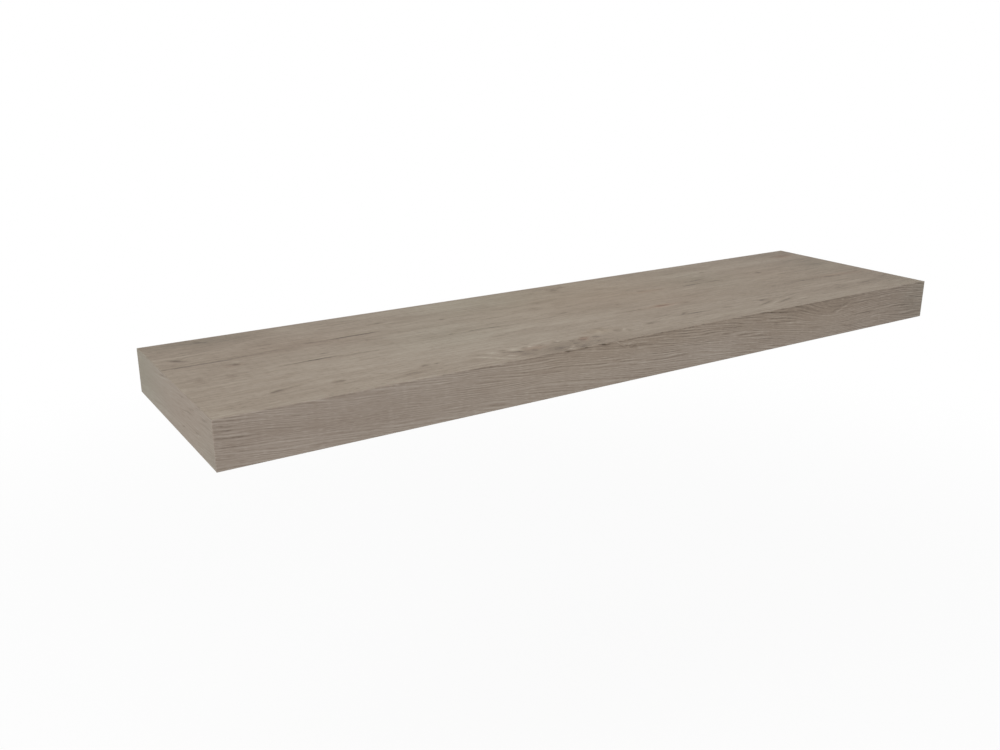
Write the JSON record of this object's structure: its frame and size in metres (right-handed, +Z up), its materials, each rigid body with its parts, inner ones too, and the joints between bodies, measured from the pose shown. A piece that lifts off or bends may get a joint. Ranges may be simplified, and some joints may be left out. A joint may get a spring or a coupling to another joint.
{
  "type": "wall shelf",
  "caption": "Straight floating wall shelf in grey oak decor: a hollow board that slides on to steel rods of a hidden wall rail and is locked from below by set screws.",
  "frame": {"origin": "middle of the wall rail's screw holes, on the wall plane, at half the board's height", "axes": "+X along the shelf to its right end as seen from the room, +Y into the wall, +Z up; the board reaches from y = 0 to its front face at y = -0.26"},
  "size_m": [1, 0.26, 0.05],
  "materials": {
    "grey_oak_foil": "resin-coated decor foil printed with a matt grey-brown oak grain",
    "grey_oak_band": "edging printed with the same matt grey-brown oak grain",
    "hardboard": "smooth brown hardboard",
    "particle_board": "sawn particle board, fine chips",
    "kraft_paper": "unbleached kraft paper",
    "galvanised_rail": "galvanised flat steel, faint spangle",
    "zinc_plated_rod": "bright zinc plate, fine turning marks",
    "weld_bead": "rippled fillet weld, heat-tinted",
    "staple_wire": "galvanised wire",
    "brass_insert": "turned brass",
    "black_oxide_screw": "black oxide, slightly oily",
    "white_nylon": "natural nylon"
  },
  "bodies": {
    "wall_bracket": {"wall_rail": "galvanised_rail", "support_rod_1": "zinc_plated_rod", "support_rod_2": "zinc_plated_rod", "support_rod_3": "zinc_plated_rod", "support_rod_4": "zinc_plated_rod", "rod_weld_1": "weld_bead", "rod_weld_2": "weld_bead", "rod_weld_3": "weld_bead", "rod_weld_4": "weld_bead"},
    "shelf_board": {"top_decor_foil": "grey_oak_foil", "bottom_decor_foil": "grey_oak_foil", "top_skin": "hardboard", "bottom_skin": "hardboard", "front_rail": "particle_board", "back_rail": "particle_board", "left_end_rail": "particle_board", "right_end_rail": "particle_board", "guide_block_1": "particle_board", "guide_block_2": "particle_board", "guide_block_3": "particle_board", "guide_block_4": "particle_board", "honeycomb_bay_1": "kraft_paper", "honeycomb_bay_2": "kraft_paper", "honeycomb_bay_3": "kraft_paper", "honeycomb_bay_4": "kraft_paper", "honeycomb_bay_5": "kraft_paper", "honeycomb_front": "kraft_paper", "front_edge_band": "grey_oak_band", "left_edge_band": "grey_oak_band", "right_edge_band": "grey_oak_band", "frame_staples": "staple_wire", "left_threaded_insert": "brass_insert", "right_threaded_insert": "brass_insert"},
    "lock_tip_left": {"left_screw_tip": "white_nylon"},
    "lock_screw_left": {"left_locking_screw": "black_oxide_screw"},
    "lock_tip_right": {"right_screw_tip": "white_nylon"},
    "lock_screw_right": {"right_locking_screw": "black_oxide_screw"}
  },
  "joints": [
    {"name": "shelf_slide", "type": "slide", "parent": "wall_bracket", "child": "shelf_board", "axis": [0, -1, 0], "range_m": [0, 0.165]},
    {"name": "lock_travel_left", "type": "slide", "parent": "shelf_board", "child": "lock_tip_left", "axis": [0, 0, -1], "range_m": [0, 0.004]},
    {"name": "lock_turn_left", "type": "hinge", "parent": "lock_tip_left", "child": "lock_screw_left", "pos_m": [-0.36, -0.03, -0.0136], "axis": [0, 0, -1], "range_deg": [0, 1440]},
    {"name": "lock_travel_right", "type": "slide", "parent": "shelf_board", "child": "lock_tip_right", "axis": [0, 0, -1], "range_m": [0, 0.004]},
    {"name": "lock_turn_right", "type": "hinge", "parent": "lock_tip_right", "child": "lock_screw_right", "pos_m": [0.36, -0.03, -0.0136], "axis": [0, 0, -1], "range_deg": [0, 1440]}
  ],
  "couplings": [
    {"joint": "lock_turn_left", "follows": "lock_travel_left", "rad_per_m": 6283.2},
    {"joint": "lock_turn_right", "follows": "lock_travel_right", "rad_per_m": 6283.2}
  ]
}
